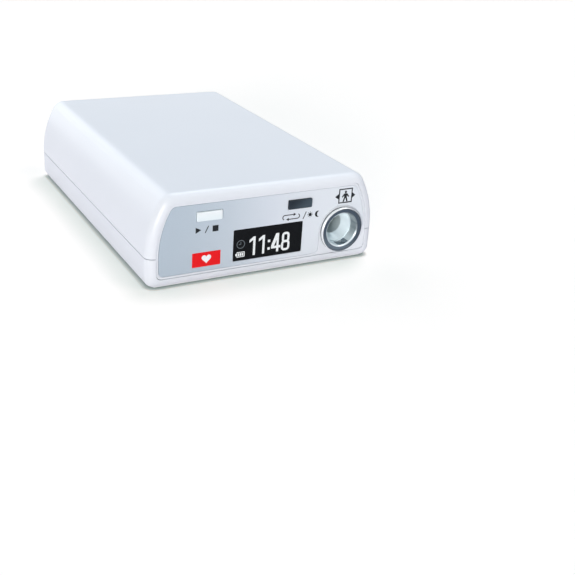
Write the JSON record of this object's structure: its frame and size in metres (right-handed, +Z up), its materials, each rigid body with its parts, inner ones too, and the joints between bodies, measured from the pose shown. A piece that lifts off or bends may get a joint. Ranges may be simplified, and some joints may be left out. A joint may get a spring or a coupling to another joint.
{
  "type": "ambulatory blood pressure monitor",
  "caption": "Worn blood pressure recorder: flat white case, grey front panel with two buttons, small display and metal cuff hose socket, sliding cell cover, pump and valve inside.",
  "frame": {"origin": "middle of the footprint, on the surface that the case lies on", "axes": "+X to the right as seen from the front panel, +Y from the front panel to the rear, +Z up"},
  "size_m": [0.066, 0.095, 0.0245],
  "materials": {
    "case_white": "glossy white ABS with soft edges",
    "auto_slate": "glossy dark slate blue",
    "overlay_grey": "satin blue-grey printed film",
    "window_black": "glossy black lens",
    "label_silver": "satin, bare",
    "display_glass": "dark display glass",
    "part_black": "moulded black",
    "pin_white": "moulded off-white",
    "flex_amber": "amber flat cable",
    "board_green": "green circuit board",
    "bezel_chrome": "polished",
    "socket_metal": "bright nickel, turned",
    "steel": "plain",
    "magnet_grey": "sintered",
    "bush_bronze": "sintered bronze",
    "winding_copper": "enamelled copper",
    "nylon_black": "moulded nylon",
    "sensor_grey": "moulded grey",
    "rubber_black": "soft black",
    "hose_clear": "milky silicone",
    "tray_white": "moulded white",
    "cell_jacket": "bare metal jacket with a plain band"
  },
  "bodies": {
    "case": {"upper_case": "case_white", "lower_case": "case_white", "front_panel": "case_white", "panel_overlay": "overlay_grey", "display_window": "window_black", "rating_label": "label_silver", "oled_module": "display_glass", "oled_holder": "part_black", "tact_switches": "part_black", "board_header": "part_black", "backup_holder": "part_black", "buzzer": "part_black", "board_chips": "part_black", "display_flex": "flex_amber", "front_board": "board_green", "main_board": "board_green", "socket_bezel": "bezel_chrome", "air_socket": "socket_metal", "socket_nut": "socket_metal", "case_screws": "steel", "board_screws": "steel", "pump_screws": "steel", "motor_can": "steel", "usb_socket": "steel", "contact_plates": "steel", "contact_springs": "steel", "valve_yoke": "steel", "backup_cell": "steel", "motor_magnets": "magnet_grey", "motor_bushes": "bush_bronze", "valve_winding": "winding_copper", "motor_endcap": "nylon_black", "pump_housing": "nylon_black", "pump_head": "nylon_black", "pump_valve_plate": "nylon_black", "pump_wobble_plate": "nylon_black", "valve_nozzle": "nylon_black", "valve_bobbin": "nylon_black", "air_manifold": "nylon_black", "pressure_sensors": "sensor_grey", "socket_seal": "rubber_black", "pump_diaphragm": "rubber_black", "pump_bands": "rubber_black", "socket_hose": "hose_clear", "pump_hose": "hose_clear", "valve_hose": "hose_clear", "sensor_hoses": "hose_clear", "battery_tray": "tray_white", "front_cell": "cell_jacket", "rear_cell": "cell_jacket"},
    "start_key": {"start_button": "case_white", "start_plunger": "pin_white"},
    "auto_key": {"auto_button": "auto_slate", "auto_plunger": "pin_white"},
    "cell_cover": {"battery_cover": "case_white"},
    "data_flap": {"usb_flap": "case_white"},
    "pump_rotor": {"motor_shaft": "steel", "motor_armature": "steel", "pump_crank": "nylon_black"},
    "valve_core": {"valve_plunger": "steel"}
  },
  "joints": [
    {"name": "start_press", "type": "slide", "parent": "case", "child": "start_key", "axis": [0, 1, 0], "range_m": [0, 0.00035], "stiffness_N_per_m": 3000, "springref_m": -0.0004},
    {"name": "auto_press", "type": "slide", "parent": "case", "child": "auto_key", "axis": [0, 1, 0], "range_m": [0, 0.00035], "stiffness_N_per_m": 3000, "springref_m": -0.0004},
    {"name": "battery_cover_slide", "type": "slide", "parent": "case", "child": "cell_cover", "axis": [0, 1, 0], "range_m": [0, 0.036]},
    {"name": "usb_flap_hinge", "type": "hinge", "parent": "case", "child": "data_flap", "pos_m": [0.03176, -0.002, 0.01495], "axis": [0, 1, 0], "range_deg": [0, 95]},
    {"name": "motor_spin", "type": "hinge", "parent": "case", "child": "pump_rotor", "pos_m": [-0.018, -0.0124, 0.0101], "axis": [1, 0, 0], "continuous": true},
    {"name": "valve_close", "type": "slide", "parent": "case", "child": "valve_core", "axis": [0, -1, 0], "range_m": [0, 0.0008], "stiffness_N_per_m": 300, "springref_m": -0.0005}
  ]
}
